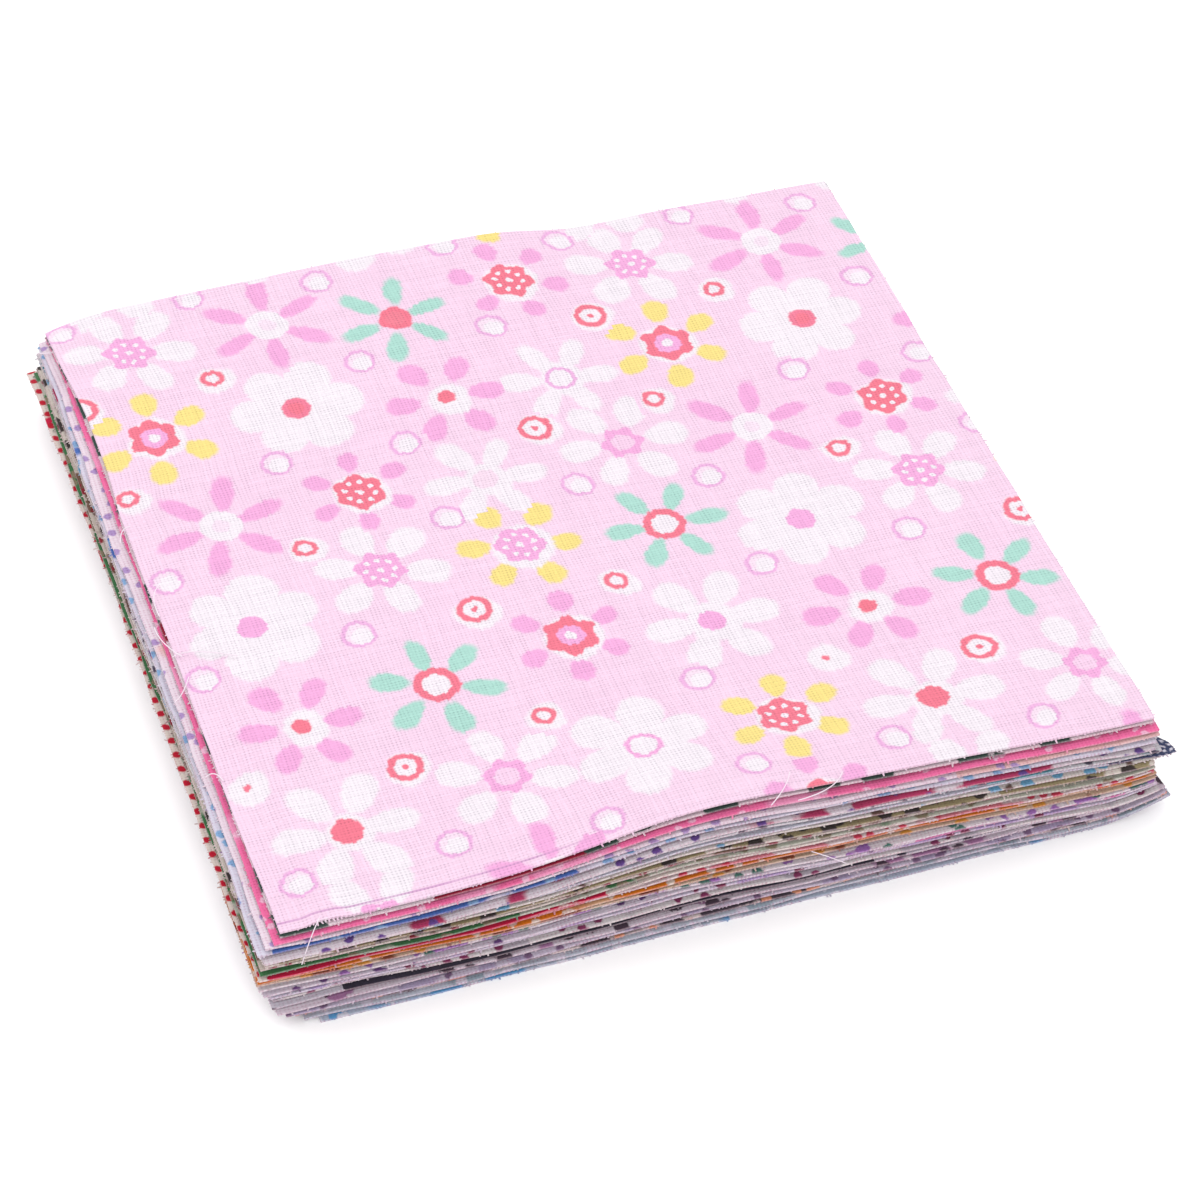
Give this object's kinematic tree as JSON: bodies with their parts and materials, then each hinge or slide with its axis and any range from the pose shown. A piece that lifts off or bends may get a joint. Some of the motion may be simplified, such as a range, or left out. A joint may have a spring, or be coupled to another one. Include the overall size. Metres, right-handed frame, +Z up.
{
  "type": "fabric square bundle",
  "caption": "Loose stack of thin printed cotton squares with uneven cut edges, crowned at the front, lying flat on its lowest square.",
  "frame": {"origin": "on the surface that the bundle lies on, below the middle of its box", "axes": "+X to the right along the front edge, +Y to the back edge, +Z up"},
  "size_m": [0.1056, 0.1026, 0.0168],
  "materials": {
    "sky_blue_cotton": "printed cotton, light blue ground",
    "pale_aqua_cotton": "printed cotton, pale aqua ground",
    "peach_and_black_cotton": "printed cotton, peach ground with black dashes",
    "lilac_grey_cotton": "printed cotton, lilac grey",
    "mauve_cotton": "printed cotton, mauve",
    "black_triangles_cotton": "printed cotton, near black ground with small pale triangles",
    "ivory_grey_cotton": "printed cotton, ivory grey",
    "pale_lavender_cotton": "printed cotton, pale lavender",
    "lilac_cotton": "printed cotton, lilac",
    "purple_sprigs_cotton": "printed cotton, purple sprigs on lilac",
    "mustard_cotton": "printed cotton, mustard",
    "orange_dots_cotton": "printed cotton, orange with pale dots",
    "peach_dots_cotton": "printed cotton, peach with pale dots",
    "red_cotton": "printed cotton, red",
    "leaf_green_cotton": "printed cotton, leaf green",
    "beige_and_brown_cotton": "printed cotton, beige with brown sprigs",
    "khaki_cotton": "printed cotton, khaki",
    "ivory_and_brown_cotton": "printed cotton, ivory with brown sprigs",
    "navy_dots_cotton": "printed cotton, navy with small white dots",
    "teal_cotton": "printed cotton, teal",
    "wine_cotton": "printed cotton, wine red",
    "royal_blue_cotton": "printed cotton, royal blue",
    "peach_stripes_cotton": "printed cotton, peach and white stripes",
    "hot_pink_cotton": "printed cotton, hot pink",
    "white_and_green_cotton": "printed cotton, pale ground with dark green sprigs",
    "pink_flowers_cotton": "printed cotton, pink ground with white, orchid, yellow and mint flowers"
  },
  "bodies": {
    "root": {"square_01_sky_blue": "sky_blue_cotton", "square_02_pale_aqua": "pale_aqua_cotton", "square_03_peach_and_black": "peach_and_black_cotton", "square_04_lilac_grey": "lilac_grey_cotton", "square_05_mauve": "mauve_cotton", "square_06_black_triangles": "black_triangles_cotton", "square_07_ivory_grey": "ivory_grey_cotton", "square_08_pale_lavender": "pale_lavender_cotton", "square_09_lilac": "lilac_cotton", "square_10_purple_sprigs": "purple_sprigs_cotton", "square_11_mustard": "mustard_cotton", "square_12_orange_dots": "orange_dots_cotton", "square_13_peach_dots": "peach_dots_cotton", "square_14_red": "red_cotton", "square_15_leaf_green": "leaf_green_cotton", "square_16_beige_and_brown": "beige_and_brown_cotton", "square_17_khaki": "khaki_cotton", "square_18_ivory_and_brown": "ivory_and_brown_cotton", "square_19_navy_dots": "navy_dots_cotton", "square_20_teal": "teal_cotton", "square_21_wine": "wine_cotton", "square_22_royal_blue": "royal_blue_cotton", "square_23_peach_stripes": "peach_stripes_cotton", "square_24_hot_pink": "hot_pink_cotton", "square_25_white_and_green": "white_and_green_cotton", "square_26_pink_flowers": "pink_flowers_cotton"}
  },
  "joints": []
}
